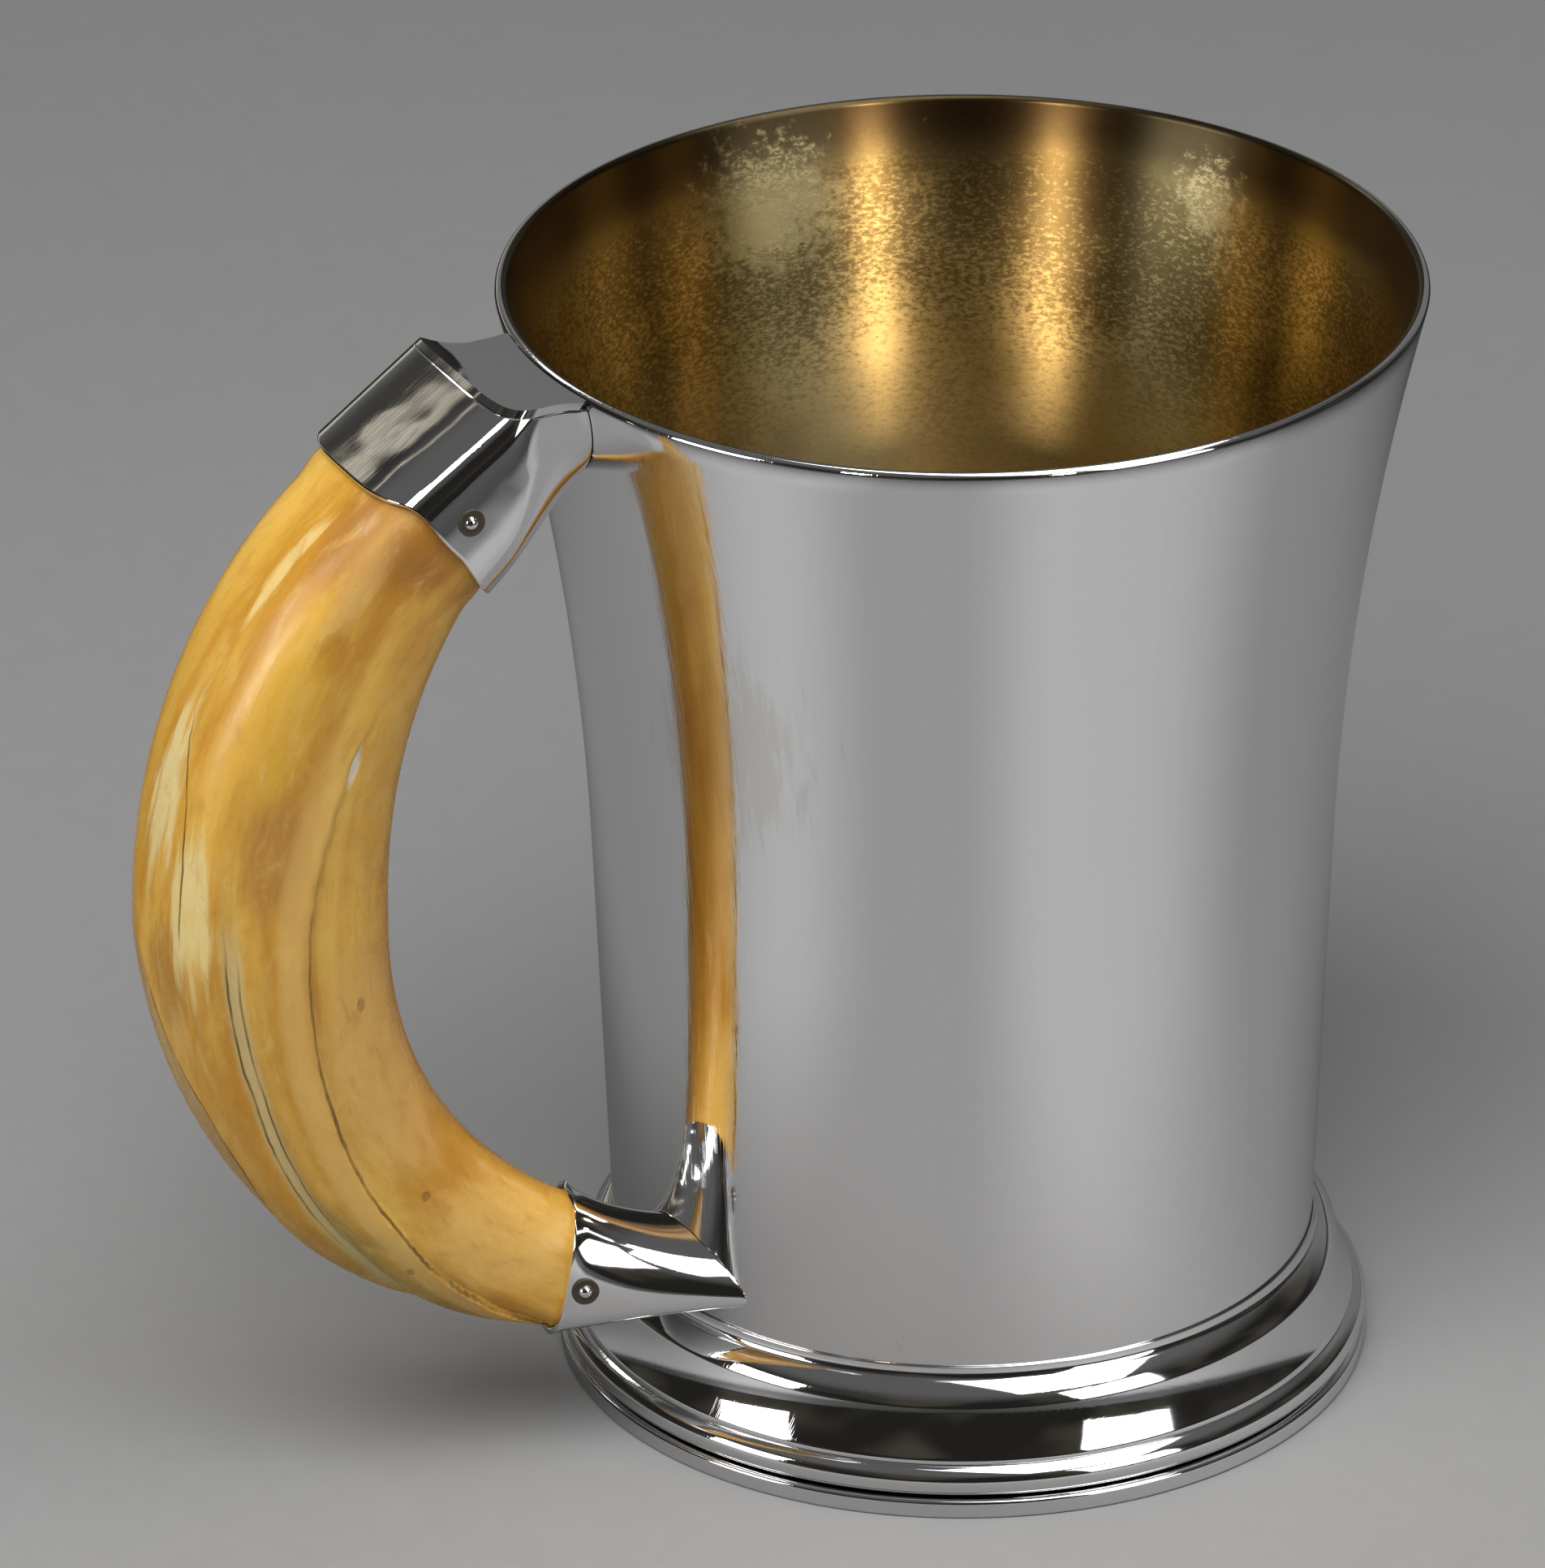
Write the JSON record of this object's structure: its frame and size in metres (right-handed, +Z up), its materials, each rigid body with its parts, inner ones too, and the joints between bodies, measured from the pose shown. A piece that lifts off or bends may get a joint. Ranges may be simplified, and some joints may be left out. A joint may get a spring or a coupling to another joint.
{
  "type": "mug",
  "caption": "Flared silver mug on a moulded hollow foot, gilt inside, with a curved tusk handle held in pinned sheet-silver sockets.",
  "frame": {"origin": "on the mug's axis, on the surface that the foot stands on", "axes": "+Z up along the mug's axis; -X towards the handle; -Y towards the side from which the picture was taken"},
  "size_m": [0.1322, 0.09, 0.1157],
  "materials": {
    "silver_body": "polished silver with fine wear, worn gilding inside",
    "silver_foot": "polished silver with fine wear",
    "silver_socket": "polished silver with fine wear",
    "silver_pin": "polished silver, tarnished round the edge",
    "tusk": "polished honey-coloured tusk with fine cracks",
    "cement": "dark matt filler, hidden in the sockets"
  },
  "bodies": {
    "root": {"mug_body": "silver_body", "base_disc": "silver_body", "foot_skirt": "silver_foot", "foot_wire": "silver_foot", "upper_socket": "silver_socket", "upper_socket_plate": "silver_socket", "lower_socket": "silver_socket", "tusk_handle": "tusk", "upper_pin": "silver_pin", "lower_pin": "silver_pin", "upper_cement": "cement", "lower_cement": "cement"}
  },
  "joints": []
}
